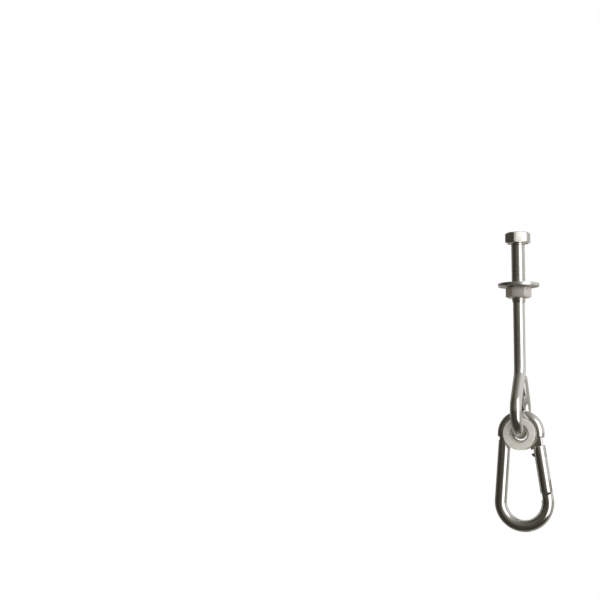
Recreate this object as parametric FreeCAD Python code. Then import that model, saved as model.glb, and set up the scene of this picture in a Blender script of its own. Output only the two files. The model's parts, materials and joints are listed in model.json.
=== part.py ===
import FreeCAD
import Part
import math
import os

V = FreeCAD.Vector

# Sizes are in millimetres and angles in degrees.
# The origin lies on the bolt's axis, level with the upper face of the washer.

# Bolt: one bar, threaded at the top and bent into an eye at the bottom.
THREAD_D = 8.0
THREAD_LENGTH = 40.0
THREAD_END_CHAMFER = 0.9
THREAD_RUNOUT = 1.5
WIRE_D = 6.8
WIRE_END_ROUND = 0.8
EYE_DROP = 74.6
NECK_BEND_R = 12.0
NECK_DEG = 34.0
TIP_REACH = 3.6
TIP_DROP = 6.3
TIP_GAP = 0.3

# Nuts and washer: the clamped beam lies between the top nut and the washer.
CLAMP_GAP = 23.5
NUT_ACROSS_FLATS = 13.0
NUT_H = 6.5
NUT_FACE_INSET = 0.3
NUT_CHAMFER_DEG = 30.0
NUT_MOUTH_CHAMFER = 0.4
NUT_THREAD_GAP = 0.05
TOP_NUT_TURN = 24.5
LOWER_NUT_TURN = 10.4
WASHER_D = 24.0
WASHER_T = 2.0
WASHER_EDGE = 0.35
WASHER_BORE_GAP = 0.2

# Bush: a grooved sleeve on the eye's wire, with a hole that flares to both ends.
BUSH_HOLE_GAP = 0.55
BUSH_WALL = 2.4
BUSH_FLANGE_H = 3.1
BUSH_FLANGE_T = 1.75
BUSH_FLARE_DEG = 38.0
BUSH_RIM_ROUND = 0.6
BUSH_GROOVE_ROUND = 1.0
BUSH_SEAT_GAP = 0.3
GROOVE_SIDE_GAP = 0.25

# Hook body: a bent round bar with a round top, a straight spine and a wide bow.
BAR_D = 7.0
HOOK_LENGTH = 70.0
HOOK_WIDTH = 34.4
HOOK_SEAT_GAP = 0.3
LEG_INSET = 0.9
HANG_DEG = 1.8
SPINE_SHOULDER_DEG = 5.0
SPINE_NOTCH_R = 1.1
NOSE_END_DEG = 12.0
NOSE_ROUND = 0.6

# Gate: a round bar with a slot at each end, hinged on the bow and latched on the nose.
NOSE_GAP = 5.4
GATE_CHAMFER = 0.4
TONGUE_T = 2.4
TONGUE_SIDE_GAP = 0.1
HINGE_RISE = 6.6
HINGE_PIN_D = 2.5
HINGE_TO_SEAM = 3.6
SEAM_GAP = 0.3
SEAM_RELIEF = 4.0
HINGE_TONGUE_W = 5.2
CAM_H = 2.6
CAM_SWING_GAP = 0.4
PIN_GAP = 0.03

# Latch: a cross pin in the gate that seats in the notch of the nose's tongue.
LATCH_PIN_D = 2.0
LATCH_PIN_INSET = 2.2
LATCH_GAP = 0.15
TONGUE_OUT = 2.4
TONGUE_IN = 2.0
BARB_OUT = 1.2
BARB_H = 2.6
LIP_OUT = 1.2
LIP_H = 1.4
LATCH_FLOOR_GAP = 0.6
NOTCH_SWEEP_DEG = 28.0

# Spring and plunger in the bore of the gate.
BORE_D = 3.6
BORE_END_WALL = 1.9
PLUNGER_GAP = 0.1
PLUNGER_L = 2.6
PLUNGER_SEAT_GAP = 0.05
SPRING_WIRE_D = 0.5
SPRING_SIDE_GAP = 0.3
SPRING_PITCH = 1.4
SPRING_WIRE_SIDES = 12
SPRING_SEAT_GAP = 0.02

# How far a cutting body runs past the faces that it cuts.
OVERCUT = 1.0

# Radii and places that follow from the sizes above.
thread_r = THREAD_D / 2
wire_r = WIRE_D / 2
bar_r = BAR_D / 2
bore_r = BORE_D / 2
groove_w = BAR_D + 2 * GROOVE_SIDE_GAP
bush_w = groove_w + 2 * BUSH_FLANGE_T
flare_r = bush_w / 2 / math.sin(math.radians(BUSH_FLARE_DEG))
bush_hole_r = wire_r + BUSH_HOLE_GAP
bush_root_r = bush_hole_r + BUSH_WALL
bush_flange_r = bush_root_r + BUSH_FLANGE_H
eye_r = flare_r + BUSH_SEAT_GAP + wire_r
bush_z = -EYE_DROP - flare_r - bush_hole_r
rod_top = CLAMP_GAP + NUT_H
thread_bottom = rod_top - THREAD_LENGTH
lower_nut_top = -WASHER_T

# The hook's own frame has its origin on the bush's axis, before the hook hangs askew.
top_r = bush_root_r + HOOK_SEAT_GAP + bar_r
bow_r = HOOK_WIDTH / 2 - bar_r
bow_drop = HOOK_LENGTH - top_r - bow_r - BAR_D
leg_r = top_r - LEG_INSET
leg_lean = math.asin((bow_r - leg_r) / bow_drop)
leg_length = bow_drop * math.cos(leg_lean)
lean_sin = math.sin(leg_lean)
lean_cos = math.cos(leg_lean)

# Along the gate, distances count up from the hinge pin.
gate_out = V(lean_cos, 0, lean_sin)
gate_up = V(-lean_sin, 0, lean_cos)
hinge = gate_out * leg_r - gate_up * (leg_length - HINGE_RISE)
nose_w = leg_length - HINGE_RISE - leg_r * math.tan(leg_lean + math.radians(NOSE_END_DEG))
gate_top = nose_w - NOSE_GAP
gate_bottom = SEAM_GAP - HINGE_TO_SEAM
slot_half = TONGUE_T / 2 + TONGUE_SIDE_GAP
latch_w = gate_top - LATCH_PIN_INSET
notch_r = LATCH_PIN_D / 2 + LATCH_GAP
barb_bottom = latch_w - notch_r - BARB_H
latch_floor = barb_bottom - LATCH_FLOOR_GAP
hinge_floor = math.hypot(HINGE_TONGUE_W / 2, CAM_H) + CAM_SWING_GAP
bore_end = latch_floor - BORE_END_WALL
plunger_bottom = CAM_H + PLUNGER_SEAT_GAP
plunger_top = plunger_bottom + PLUNGER_L


def arc_point(radius, degrees, centre=V(0, 0, 0)):
    """A point of the hook's plane on a circle, counted from +X towards +Z."""
    turn = math.radians(degrees)
    return centre + V(radius * math.cos(turn), 0, radius * math.sin(turn))


def gate_point(out, up):
    """A point of the hook's plane, given across and along the gate from the hinge pin."""
    return hinge + gate_out * out + gate_up * up


def arc(start, middle, end):
    """An arc edge through three points."""
    return Part.Arc(start, middle, end).toShape()


def line(start, end):
    """A straight edge."""
    return Part.LineSegment(start, end).toShape()


def round_bar(edges, radius, direction):
    """A round bar along tangent edges, starting in the given direction."""
    path = Part.Wire(edges)
    section = Part.Wire(Part.makeCircle(radius, edges[0].Vertexes[0].Point, direction))
    return path.makePipeShell([section], True, False)


def turned(points):
    """A solid turned about the Z axis from radius and height pairs."""
    corners = [V(radius, 0, height) for radius, height in points]
    face = Part.Face(Part.makePolygon(corners + corners[:1]))
    return face.revolve(V(0, 0, 0), V(0, 0, 1), 360)


def plate(edges, thickness):
    """A flat plate across the hook's plane, centred on it."""
    face = Part.Face(Part.Wire(edges))
    face.translate(V(0, -thickness / 2, 0))
    return face.extrude(V(0, thickness, 0))


def gate_plate(points, thickness):
    """A flat plate whose corners are given across and along the gate."""
    corners = [gate_point(out, up) for out, up in points]
    return plate(Part.makePolygon(corners + corners[:1]).Edges, thickness)


def cross_pin(up, radius, half_length):
    """A round pin straight across the hook, on the gate's axis."""
    return Part.makeCylinder(radius, 2 * half_length, gate_point(0, up) - V(0, half_length, 0), V(0, 1, 0))


def along_gate(radius, low, high):
    """A round bar on the gate's axis between two heights."""
    return Part.makeCylinder(radius, high - low, gate_point(0, low), gate_up)


def ring_edges(shape, radius):
    """The circular edges of one radius."""
    circles = [edge for edge in shape.Edges if isinstance(edge.Curve, Part.Circle)]
    return [edge for edge in circles if abs(edge.Curve.Radius - radius) < Part.Precision.confusion()]


def hung(shape):
    """The shape moved from the hook's own frame to where the hook hangs."""
    placed = shape.copy()
    placed.rotate(V(0, 0, 0), V(0, 1, 0), -HANG_DEG)
    placed.translate(V(0, 0, bush_z))
    return placed


def eye_point(turn):
    """A point on the eye's centre line, counted in radians from +Y towards +Z."""
    return V(0, eye_r * math.cos(turn), eye_r * math.sin(turn) - EYE_DROP)


def make_eye_bolt():
    """The threaded rod and its bent eye, whose end is hollowed to lie against the shank."""
    neck = math.radians(NECK_DEG)
    run = (eye_r * math.cos(neck) - NECK_BEND_R * (1 - math.cos(neck))) / math.sin(neck)
    neck_z = -EYE_DROP + (eye_r + NECK_BEND_R) * math.sin(neck) + run * math.cos(neck)
    neck_centre = V(0, -NECK_BEND_R, neck_z)
    neck_start = V(0, 0, neck_z)
    neck_middle = neck_centre + V(0, math.cos(neck / 2), -math.sin(neck / 2)) * NECK_BEND_R
    neck_end = neck_centre + V(0, math.cos(neck), -math.sin(neck)) * NECK_BEND_R
    tip = V(0, TIP_REACH, neck_z - TIP_DROP)
    reach = tip + V(0, 0, EYE_DROP)
    tip_turn = math.atan2(reach.z, reach.y) - math.acos(eye_r / reach.Length)
    eye_start = eye_point(math.pi - neck)
    eye_bottom = eye_point(-math.pi / 2)
    eye_end = eye_point(tip_turn)
    wire_top = V(0, 0, thread_bottom - THREAD_RUNOUT)
    shank = [
        line(wire_top, neck_start),
        arc(neck_start, neck_middle, neck_end),
        line(neck_end, eye_start),
    ]
    near_side = shank + [arc(eye_start, eye_point(-(math.pi + neck) / 2 - math.pi / 4), eye_bottom)]
    far_side = [
        arc(eye_bottom, eye_point(tip_turn / 2 - math.pi / 4), eye_end),
        line(eye_end, tip),
    ]
    tail = round_bar(far_side, wire_r, V(0, 1, 0))
    tip_edges = [edge for edge in ring_edges(tail, wire_r) if edge.Curve.Center.isEqual(tip, TIP_GAP)]
    tail = tail.makeFillet(WIRE_END_ROUND, tip_edges)
    tail = tail.cut(round_bar(shank, wire_r + TIP_GAP, V(0, 0, -1)))
    rod = turned([
        (0, wire_top.z),
        (wire_r, wire_top.z),
        (thread_r, thread_bottom),
        (thread_r, rod_top - THREAD_END_CHAMFER),
        (thread_r - THREAD_END_CHAMFER, rod_top),
        (0, rod_top),
    ])
    return rod.fuse([round_bar(near_side, wire_r, V(0, 0, -1)), tail]).removeSplitter()


def make_nut(bottom, turn):
    """A hexagon nut with chamfered corners, one flat turned from -Y towards +X."""
    corner_r = NUT_ACROSS_FLATS / 2 / math.cos(math.radians(30))
    face_r = NUT_ACROSS_FLATS / 2 - NUT_FACE_INSET
    hexagon = [V(corner_r * math.cos(math.radians(60 * i)), corner_r * math.sin(math.radians(60 * i)), 0)
               for i in range(6)]
    blank = Part.Face(Part.makePolygon(hexagon + hexagon[:1])).extrude(V(0, 0, NUT_H))
    fall = (corner_r - face_r) * math.tan(math.radians(NUT_CHAMFER_DEG))
    rounded = turned([
        (0, 0),
        (face_r, 0),
        (corner_r, fall),
        (corner_r, NUT_H - fall),
        (face_r, NUT_H),
        (0, NUT_H),
    ])
    hole_r = thread_r + NUT_THREAD_GAP
    hole = turned([
        (0, 0),
        (hole_r + NUT_MOUTH_CHAMFER, 0),
        (hole_r, NUT_MOUTH_CHAMFER),
        (hole_r, NUT_H - NUT_MOUTH_CHAMFER),
        (hole_r + NUT_MOUTH_CHAMFER, NUT_H),
        (0, NUT_H),
    ])
    nut = blank.common(rounded).cut(hole)
    nut.rotate(V(0, 0, 0), V(0, 0, 1), turn)
    nut.translate(V(0, 0, bottom))
    return nut


def make_washer():
    """A flat washer with softened rims."""
    disc = Part.makeCylinder(WASHER_D / 2, WASHER_T, V(0, 0, -WASHER_T))
    hole = Part.makeCylinder(thread_r + WASHER_BORE_GAP, WASHER_T, V(0, 0, -WASHER_T))
    ring = disc.cut(hole)
    return ring.makeFillet(WASHER_EDGE, ring_edges(ring, WASHER_D / 2))


def make_bush():
    """The sleeve, turned about the Y axis: a flared hole inside and a groove outside."""
    mouth_r = bush_hole_r + flare_r * (1 - math.cos(math.radians(BUSH_FLARE_DEG)))
    half = bush_w / 2
    groove = groove_w / 2
    outline = [
        V(mouth_r, half, 0),
        V(bush_flange_r, half, 0),
        V(bush_flange_r, groove, 0),
        V(bush_root_r, groove, 0),
        V(bush_root_r, -groove, 0),
        V(bush_flange_r, -groove, 0),
        V(bush_flange_r, -half, 0),
        V(mouth_r, -half, 0),
    ]
    flare = arc(outline[-1], V(bush_hole_r, 0, 0), outline[0])
    face = Part.Face(Part.Wire(Part.makePolygon(outline).Edges + [flare]))
    spool = face.revolve(V(0, 0, 0), V(0, 1, 0), 360)
    spool = spool.makeFillet(BUSH_RIM_ROUND, ring_edges(spool, bush_flange_r))
    spool = spool.makeFillet(BUSH_GROOVE_ROUND, ring_edges(spool, bush_root_r))
    spool.translate(V(0, 0, bush_z))
    return spool


def make_latch_tongue():
    """The flat tongue below the nose, with a barb and a notch that lets the pin swing out."""
    lip_top = latch_w + notch_r + LIP_H
    blade = gate_plate([
        (TONGUE_OUT, nose_w + bar_r),
        (TONGUE_OUT, barb_bottom),
        (-bar_r, barb_bottom),
        (-bar_r - BARB_OUT, barb_bottom + BARB_OUT),
        (-bar_r - BARB_OUT, latch_w),
        (-bar_r - LIP_OUT, latch_w),
        (-bar_r - LIP_OUT, lip_top),
        (-TONGUE_IN, lip_top + LIP_H),
        (-TONGUE_IN, nose_w + bar_r),
    ], TONGUE_T)
    sweep = math.radians(NOTCH_SWEEP_DEG)
    inner = latch_w - notch_r
    outer = latch_w + notch_r
    low = [gate_point(-inner * math.sin(part), inner * math.cos(part)) for part in (0, sweep / 2, sweep)]
    high = [gate_point(-outer * math.sin(part), outer * math.cos(part)) for part in (0, sweep / 2, sweep)]
    slot = plate([line(low[0], high[0]), arc(*high), line(high[2], low[2]), arc(*reversed(low))], BAR_D)
    return blade.cut(slot).cut(cross_pin(latch_w, notch_r, bar_r))


def make_hook_body():
    """The hook's bent bar with its two tongues."""
    top = round_bar(
        [arc(arc_point(top_r, 180 + SPINE_SHOULDER_DEG), arc_point(top_r, 90), arc_point(top_r, -NOSE_END_DEG))],
        bar_r, arc_point(1, -90 + SPINE_SHOULDER_DEG))
    nose_edges = [edge for edge in ring_edges(top, bar_r) if edge.Curve.Center.x > 0]
    top = top.makeFillet(NOSE_ROUND, nose_edges)
    bow_centre = V(0, 0, -bow_drop)
    lean = math.degrees(leg_lean)
    spine_top = arc_point(leg_r, 180 - lean)
    bow_start = arc_point(bow_r, 180 - lean, bow_centre)
    bow_end = arc_point(bow_r, lean, bow_centre)
    bow_bottom = arc_point(bow_r, -90, bow_centre)
    limb = round_bar([
        line(spine_top, bow_start),
        arc(bow_start, bow_bottom, bow_end),
        line(bow_end, gate_point(0, -HINGE_TO_SEAM)),
    ], bar_r, bow_start - spine_top)
    side = bar_r + OVERCUT
    seam_cut = gate_plate([
        (side, -HINGE_TO_SEAM),
        (bar_r, -HINGE_TO_SEAM),
        (-side, -HINGE_TO_SEAM - SEAM_RELIEF),
        (-side, 0),
        (side, 0),
    ], BAR_D + OVERCUT)
    hinge_tongue = gate_plate([
        (HINGE_TONGUE_W / 2, CAM_H),
        (-HINGE_TONGUE_W / 2, CAM_H),
        (-HINGE_TONGUE_W / 2, -HINGE_RISE),
        (HINGE_TONGUE_W / 2, -HINGE_RISE),
    ], TONGUE_T)
    shoulder = arc_point(top_r + bar_r, 180 + SPINE_SHOULDER_DEG)
    notch_z = shoulder.z - SPINE_NOTCH_R
    notch_x = ((leg_r + bar_r) - notch_z * lean_sin) / -lean_cos
    notch = Part.makeCylinder(SPINE_NOTCH_R, BAR_D, V(notch_x, -bar_r, notch_z), V(0, 1, 0))
    seat = Part.makeCylinder(top_r - bar_r, BAR_D, V(0, -bar_r, 0), V(0, 1, 0))
    limb = limb.cut(seam_cut).cut(notch)
    body = limb.fuse([top, hinge_tongue, make_latch_tongue()])
    body = body.cut(seat).cut(cross_pin(0, HINGE_PIN_D / 2 + PIN_GAP, TONGUE_T))
    return hung(body.removeSplitter())


def make_gate():
    """The gate's bar with a slot for each tongue, a bore for the spring and two pin holes."""
    bar = along_gate(bar_r, gate_bottom, gate_top)
    bar = bar.makeChamfer(GATE_CHAMFER, ring_edges(bar, bar_r))
    side = bar_r + OVERCUT
    latch_slot = gate_plate([
        (side, latch_floor),
        (side, gate_top + OVERCUT),
        (-side, gate_top + OVERCUT),
        (-side, latch_floor),
    ], 2 * slot_half)
    hinge_slot = gate_plate([
        (side, gate_bottom - OVERCUT),
        (side, hinge_floor),
        (-side, hinge_floor),
        (-side, gate_bottom - OVERCUT),
    ], 2 * slot_half)
    cuts = [
        latch_slot,
        hinge_slot,
        along_gate(bore_r, gate_bottom - OVERCUT, bore_end),
        cross_pin(0, HINGE_PIN_D / 2 + PIN_GAP, bar_r),
        cross_pin(latch_w, LATCH_PIN_D / 2 + PIN_GAP, bar_r),
    ]
    return hung(bar.cut(cuts))


def make_pin(up, diameter):
    """A cross pin that ends flush with the sides of the bar."""
    return hung(cross_pin(up, diameter / 2, math.sqrt(bar_r ** 2 - diameter ** 2 / 4)))


def make_plunger():
    """The pin that the spring presses down on the hinge tongue."""
    return hung(along_gate(bore_r - PLUNGER_GAP, plunger_bottom, plunger_top))


def make_spring():
    """A coil spring between the plunger and the end of the bore, its round wire cut to flat sides."""
    wire_radius = SPRING_WIRE_D / 2
    coil_r = bore_r - SPRING_SIDE_GAP - wire_radius
    room = bore_end - plunger_top - 2 * (wire_radius + SPRING_SEAT_GAP)
    helix = Part.makeHelix(SPRING_PITCH, room, coil_r)
    step = 360 / SPRING_WIRE_SIDES
    section = [arc_point(wire_radius, step * i, V(coil_r, 0, 0)) for i in range(SPRING_WIRE_SIDES)]
    coil = Part.Wire(helix.Edges).makePipeShell([Part.makePolygon(section + section[:1])], True, True)
    coil.Placement = FreeCAD.Placement(
        gate_point(0, plunger_top + wire_radius + SPRING_SEAT_GAP),
        FreeCAD.Rotation(V(0, 0, 1), gate_up))
    return hung(coil)


PIECES = {
    "eye_bolt": make_eye_bolt(),
    "top_nut": make_nut(CLAMP_GAP, TOP_NUT_TURN),
    "washer": make_washer(),
    "lower_nut": make_nut(lower_nut_top - NUT_H, LOWER_NUT_TURN),
    "bush": make_bush(),
    "hook_body": make_hook_body(),
    "gate": make_gate(),
    "gate_hinge_pin": make_pin(0, HINGE_PIN_D),
    "gate_latch_pin": make_pin(latch_w, LATCH_PIN_D),
    "gate_plunger": make_plunger(),
    "gate_spring": make_spring(),
}

os.makedirs("parts", exist_ok=True)
for name, shape in PIECES.items():
    shape.exportStep(f"parts/{name}.step")
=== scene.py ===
"""Hammock hook: a threaded eye bolt with nuts, a washer and a snap hook on a nylon bush."""
import json
import logging
import math
from collections.abc import Callable
from dataclasses import dataclass, field
from enum import Enum

import bmesh
import bpy
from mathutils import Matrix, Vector

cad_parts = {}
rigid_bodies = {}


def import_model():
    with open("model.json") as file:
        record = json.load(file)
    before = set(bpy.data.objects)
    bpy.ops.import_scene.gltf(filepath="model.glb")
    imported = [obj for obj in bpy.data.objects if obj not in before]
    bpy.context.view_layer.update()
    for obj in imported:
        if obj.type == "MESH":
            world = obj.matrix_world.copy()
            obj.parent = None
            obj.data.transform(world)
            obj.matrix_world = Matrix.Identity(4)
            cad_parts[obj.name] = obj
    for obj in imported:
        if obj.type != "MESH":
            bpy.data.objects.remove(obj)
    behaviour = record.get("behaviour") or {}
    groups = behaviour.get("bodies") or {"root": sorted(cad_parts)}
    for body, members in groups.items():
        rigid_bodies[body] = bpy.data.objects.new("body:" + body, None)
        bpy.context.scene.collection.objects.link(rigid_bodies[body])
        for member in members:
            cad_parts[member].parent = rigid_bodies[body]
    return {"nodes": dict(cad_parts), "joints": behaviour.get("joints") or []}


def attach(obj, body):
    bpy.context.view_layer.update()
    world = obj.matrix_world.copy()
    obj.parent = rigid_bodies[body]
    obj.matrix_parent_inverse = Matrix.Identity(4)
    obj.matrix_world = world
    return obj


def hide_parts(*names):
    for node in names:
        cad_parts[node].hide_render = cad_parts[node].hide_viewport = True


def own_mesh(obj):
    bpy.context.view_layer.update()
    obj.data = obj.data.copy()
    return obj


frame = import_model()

LOG = logging.getLogger("hammock_hook")
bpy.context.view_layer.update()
MM = 0.001
WELD = 1e-6  # vertices nearer than this are one
AXIS_X = Vector((1, 0, 0))
AXIS_Y = Vector((0, 1, 0))
AXIS_Z = Vector((0, 0, 1))
WHITE = (1.0, 1.0, 1.0)

Piece = bpy.types.Object
Colour = tuple[float, float, float]
Range = tuple[float, float]
Pairs = list[tuple[float, float]]
Grades = tuple[tuple[float, float], ...]
Input = "float | Colour | Signal"


def joint(name: str) -> dict:
    """A joint of the frame by its name."""
    return next(entry for entry in frame["joints"] if entry["name"] == name)


def mm(x: float, y: float, z: float) -> Vector:
    """A point given in millimetres."""
    return Vector((x, y, z)) * MM


def profile(pairs: Pairs) -> list[Vector]:
    """Points in the hook's plane from pairs of distance across and height."""
    return [Vector((across, 0, height)) for across, height in pairs]


# The bush hangs on the eye's wire, so both take their places from the joints that they turn on.
EYE_Z = joint("bush_rock")["pos_m"][2]
BUSH_Z = joint("hook_swing")["pos_m"][2]
WIRE_R = 3.4 * MM
BUSH_HOLE_R = 3.95 * MM
SEAT_GAP = 0.3 * MM
EYE_R = EYE_Z - BUSH_Z - (BUSH_HOLE_R - WIRE_R - SEAT_GAP)


class Cut(Enum):
    """What a boolean does with its tool."""

    REMOVE = "DIFFERENCE"
    ADD = "UNION"
    KEEP = "INTERSECT"


class Slot(Enum):
    """The record's material slots."""

    BOLT = "bolt_steel"
    NUT = "nut_steel"
    WASHER = "washer_steel"
    HOOK = "hook_steel"
    PIN = "pin_steel"
    SPRING = "spring_steel"
    NYLON = "nylon"


class Body(Enum):
    """The moving bodies that pieces ride on."""

    BOLT = "bolt"
    TOP_NUT = "top_nut"
    WASHER = "washer"
    LOWER_NUT = "lower_nut"
    BUSH = "bush"
    HOOK = "hook"
    GATE = "gate"


@dataclass(frozen=True)
class Stand:
    """Where a piece that is modelled about the origin goes: tilted about Y, then moved."""

    place: Vector
    tilt: float

    def settle(self, piece: Piece) -> Piece:
        """Moves a piece's mesh to its place.

        Args:
            piece: the object, modelled about the origin.

        Returns:
            The same object.
        """
        Bench.take(piece)
        piece.location = self.place
        piece.rotation_euler = (0, self.tilt, 0)
        bpy.ops.object.transform_apply(location=True, rotation=True, scale=True)
        return piece


class Bench:
    """Hand tools for modelling. Those that name no piece act on the mesh that is open."""

    @staticmethod
    def clear() -> None:
        """Leaves edit mode and lets go of every object."""
        if bpy.context.object and bpy.context.object.mode != "OBJECT":
            bpy.ops.object.mode_set(mode="OBJECT")
        bpy.ops.object.select_all(action="DESELECT")

    @staticmethod
    def take(piece: Piece) -> None:
        """Makes one object alone the one that operators act on.

        Args:
            piece: the object.
        """
        Bench.clear()
        piece.select_set(True)
        bpy.context.view_layer.objects.active = piece

    @staticmethod
    def select() -> None:
        """Selects all of the mesh."""
        bpy.ops.mesh.select_all(action="SELECT")

    @staticmethod
    def open(piece: Piece) -> None:
        """Takes an object and opens its mesh with all of it selected.

        Args:
            piece: the object.
        """
        Bench.take(piece)
        bpy.ops.object.mode_set(mode="EDIT")
        Bench.select()

    @staticmethod
    def adopt(name: str) -> Piece:
        """Names the new primitive, puts its place into its mesh and opens it.

        Args:
            name: the object's name.

        Returns:
            The object, in edit mode with everything selected.
        """
        piece = bpy.context.object
        piece.name = name
        piece.data.name = name
        bpy.ops.object.transform_apply(location=True, rotation=True, scale=True)
        bpy.ops.object.mode_set(mode="EDIT")
        Bench.select()
        return piece

    @staticmethod
    def outline(name: str, points: list[Vector]) -> Piece:
        """Draws a line through points.

        Args:
            name: the object's name.
            points: the line's points in order.

        Returns:
            The object, in edit mode with the line's end selected.
        """
        Bench.clear()
        bpy.ops.mesh.primitive_plane_add(size=MM, location=points[0])
        piece = Bench.adopt(name)
        bpy.ops.mesh.merge(type="CENTER")
        Bench.select()
        for start, end in zip(points, points[1:]):
            bpy.ops.mesh.extrude_vertices_move(TRANSFORM_OT_translate={"value": end - start})
        return piece

    @staticmethod
    def ring(name: str, radius: float, place: Vector, along: Vector, sides: int = 64) -> Piece:
        """Starts a round bar with an open ring.

        Args:
            name: the object's name.
            radius: the bar's radius.
            place: the ring's centre.
            along: the direction in which the bar leaves.
            sides: how many sides the bar has.

        Returns:
            The object, in edit mode with the ring selected.
        """
        Bench.clear()
        turn = along.to_track_quat("Z", "Y").to_euler()
        bpy.ops.mesh.primitive_circle_add(
            vertices=sides, radius=radius, fill_type="NOTHING", location=place, rotation=turn)
        return Bench.adopt(name)

    @staticmethod
    def run(step: Vector) -> None:
        """Draws the selected ring out in a straight run."""
        bpy.ops.mesh.extrude_edges_move(TRANSFORM_OT_translate={"value": step})

    @staticmethod
    def bend(centre: Vector, axis: Vector, angle: float, steps: int) -> None:
        """Draws what is selected round an arc about an axis through a centre, by the right-hand rule."""
        # The operator itself turns by the left-hand rule.
        bpy.ops.mesh.spin(steps=steps, angle=-angle, center=centre, axis=axis)

    @staticmethod
    def split_ring(piece: Piece, name: str) -> Piece:
        """Copies the selected ring into an object of its own.

        Args:
            piece: the object in edit mode.
            name: the new object's name.

        Returns:
            The new object, in edit mode with its ring selected.
        """
        bpy.ops.mesh.duplicate()
        bpy.ops.mesh.separate(type="SELECTED")
        Bench.take(next(other for other in bpy.data.objects if other.name.startswith(f"{piece.name}.")))
        return Bench.adopt(name)

    @staticmethod
    def open_end(piece: Piece, test: Callable[[Vector], bool]) -> None:
        """Takes off the face whose corners all pass a test.

        Args:
            piece: the object.
            test: says whether a corner at a place belongs to the face.
        """
        Bench.open(piece)
        Bench.pick(test)
        bpy.ops.mesh.delete(type="ONLY_FACE")
        Bench.clear()

    @staticmethod
    def join(piece: Piece, other: Piece) -> None:
        """Welds another open form to a piece at their shared ring and closes the rest.

        Args:
            piece: the object that is kept.
            other: the object that is used up.
        """
        Bench.take(piece)
        other.select_set(True)
        bpy.ops.object.join()
        bpy.ops.object.mode_set(mode="EDIT")
        Bench.seal()

    @staticmethod
    def weld() -> None:
        """Merges doubled vertices."""
        Bench.select()
        bpy.ops.mesh.remove_doubles(threshold=WELD)

    @staticmethod
    def seal() -> None:
        """Merges doubled vertices, closes open ends and turns all faces outwards."""
        Bench.weld()
        bpy.ops.mesh.fill_holes(sides=0)
        bpy.ops.mesh.normals_make_consistent(inside=False)

    @staticmethod
    def turn(axis: Vector, steps: int) -> None:
        """Spins the whole outline into a closed turned form.

        Args:
            axis: the axis through the origin.
            steps: how many segments the form has.
        """
        Bench.select()
        Bench.bend(Vector(), axis, math.tau, steps)
        Bench.seal()

    @staticmethod
    def thicken(step: Vector) -> None:
        """Draws the whole sheet out into a closed block.

        Args:
            step: which way and how far.
        """
        Bench.select()
        bpy.ops.mesh.extrude_region_move(TRANSFORM_OT_translate={"value": step})
        Bench.seal()

    @staticmethod
    def pick(test: Callable[[Vector], bool]) -> None:
        """Selects the vertices that pass a test on their place, and the edges between them.

        Args:
            test: says whether a vertex at a place is wanted.
        """
        bpy.ops.mesh.select_mode(type="VERT")
        bpy.ops.mesh.select_all(action="DESELECT")
        mesh = bpy.context.object.data
        form = bmesh.from_edit_mesh(mesh)
        for vertex in form.verts:
            vertex.select_set(test(vertex.co))
        form.select_flush(True)
        bmesh.update_edit_mesh(mesh)

    @staticmethod
    def round_corners(corners: list[Vector], radius: float, segments: int) -> None:
        """Rounds the corners of an outline that lie at given places."""
        Bench.pick(lambda place: any((place - corner).length < WELD for corner in corners))
        bpy.ops.mesh.bevel(affect="VERTICES", offset=radius, segments=segments)

    @staticmethod
    def soften_rim(test: Callable[[Vector], bool], width: float, segments: int) -> None:
        """Bevels the rim of the face whose corners pass a test.

        Args:
            test: says whether a vertex at a place lies on the rim.
            width: the bevel's width.
            segments: how many segments the bevel has.
        """
        Bench.pick(test)
        bpy.ops.mesh.region_to_loop()
        bpy.ops.mesh.bevel(affect="EDGES", offset=width, segments=segments)

    @staticmethod
    def soften_lines(across: tuple[float, ...], width: float, segments: int) -> None:
        """Bevels the upright edges that stand at given distances across.

        Args:
            across: the distances along X.
            width: the bevel's width.
            segments: how many segments the bevel has.
        """
        bpy.ops.mesh.select_mode(type="EDGE")
        bpy.ops.mesh.select_all(action="DESELECT")
        mesh = bpy.context.object.data
        form = bmesh.from_edit_mesh(mesh)
        for edge in form.edges:
            first, second = (vertex.co for vertex in edge.verts)
            upright = (first - second).normalized().cross(AXIS_Z).length < WELD
            edge.select_set(upright and any(abs(first.x - place) < WELD for place in across))
        bmesh.update_edit_mesh(mesh)
        bpy.ops.mesh.bevel(affect="EDGES", offset=width, segments=segments)

    @staticmethod
    def turned(name: str, pairs: Pairs, steps: int) -> Piece:
        """A form turned about the bolt's axis.

        Args:
            name: the object's name.
            pairs: the outline, as pairs of radius and height.
            steps: how many segments the form has.

        Returns:
            The closed form, still in edit mode.
        """
        piece = Bench.outline(name, profile(pairs))
        Bench.turn(AXIS_Z, steps)
        return piece

    @staticmethod
    def plate(name: str, pairs: Pairs, thickness: float) -> Piece:
        """A flat plate in the hook's plane, centred on it.

        Args:
            name: the object's name.
            pairs: the outline, as pairs of distance across and height.
            thickness: the plate's thickness.

        Returns:
            The closed plate, still in edit mode.
        """
        shift = AXIS_Y * thickness / 2
        piece = Bench.outline(name, [corner - shift for corner in profile(pairs)])
        Bench.select()
        bpy.ops.mesh.edge_face_add()
        Bench.thicken(2 * shift)
        return piece

    @staticmethod
    def bar(name: str, radius: float, start: Vector, end: Vector) -> Piece:
        """A plain round bar between two points.

        Args:
            name: the object's name.
            radius: the bar's radius.
            start: the centre of one end.
            end: the centre of the other end.

        Returns:
            The closed bar, still in edit mode.
        """
        piece = Bench.ring(name, radius, start, end - start)
        Bench.run(end - start)
        Bench.seal()
        return piece

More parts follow.
